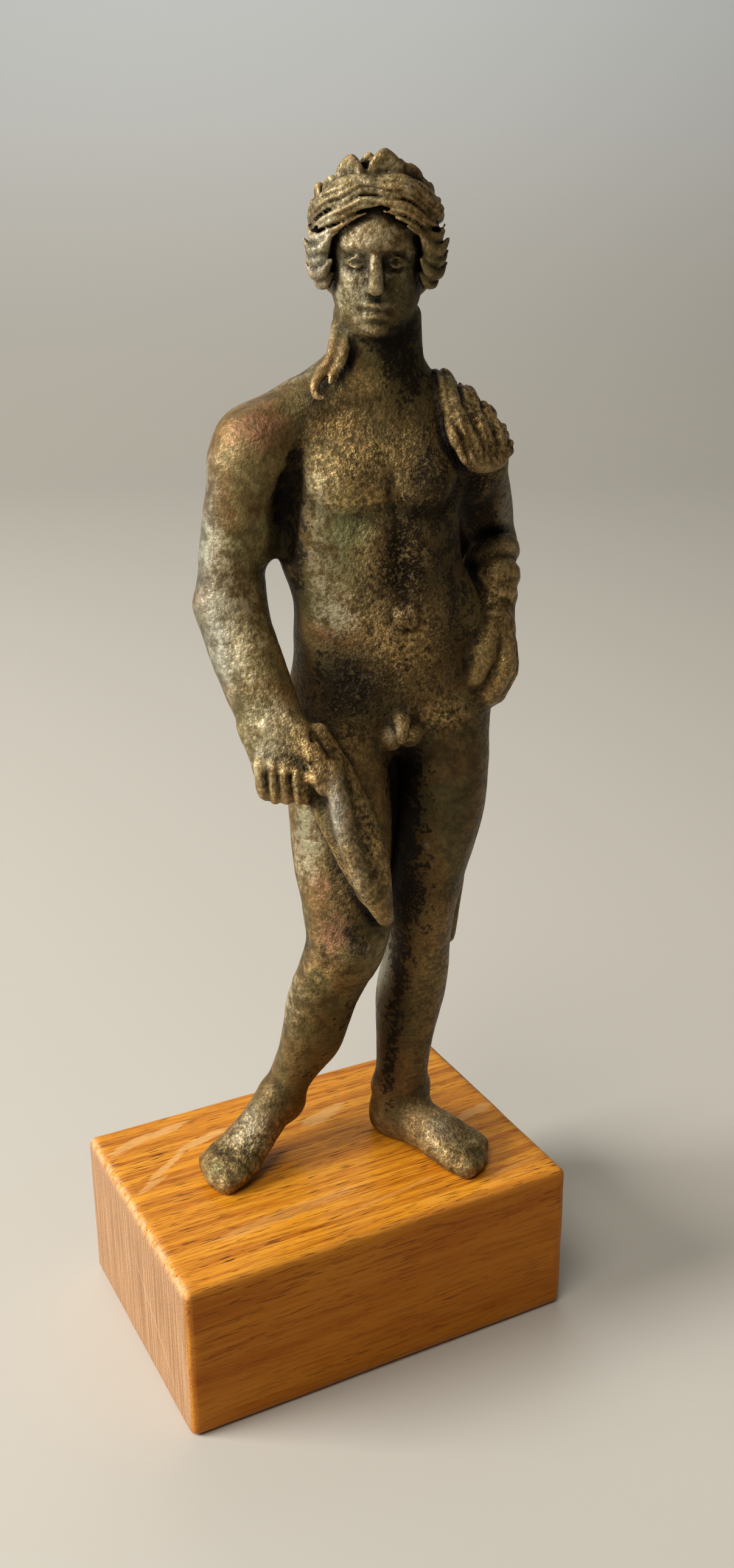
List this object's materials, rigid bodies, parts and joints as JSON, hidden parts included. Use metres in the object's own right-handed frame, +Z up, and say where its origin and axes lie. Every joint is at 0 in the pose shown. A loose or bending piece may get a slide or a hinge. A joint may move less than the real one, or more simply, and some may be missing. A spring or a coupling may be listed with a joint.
{
  "type": "bronze apollo statuette",
  "caption": "Small cast bronze of a nude youth with a leaf wreath, cloak over the left arm and a long leaf in the right hand, on an oak block.",
  "frame": {"origin": "middle of the oak block's underside", "axes": "+Z up, -Y the way the block's long side faces, +X to the left side of the figure"},
  "size_m": [0.0635, 0.041, 0.1628],
  "materials": {
    "bronze": "satin",
    "oak": "satin"
  },
  "bodies": {
    "root": {"figure": "bronze", "oak_block": "oak"}
  },
  "joints": []
}
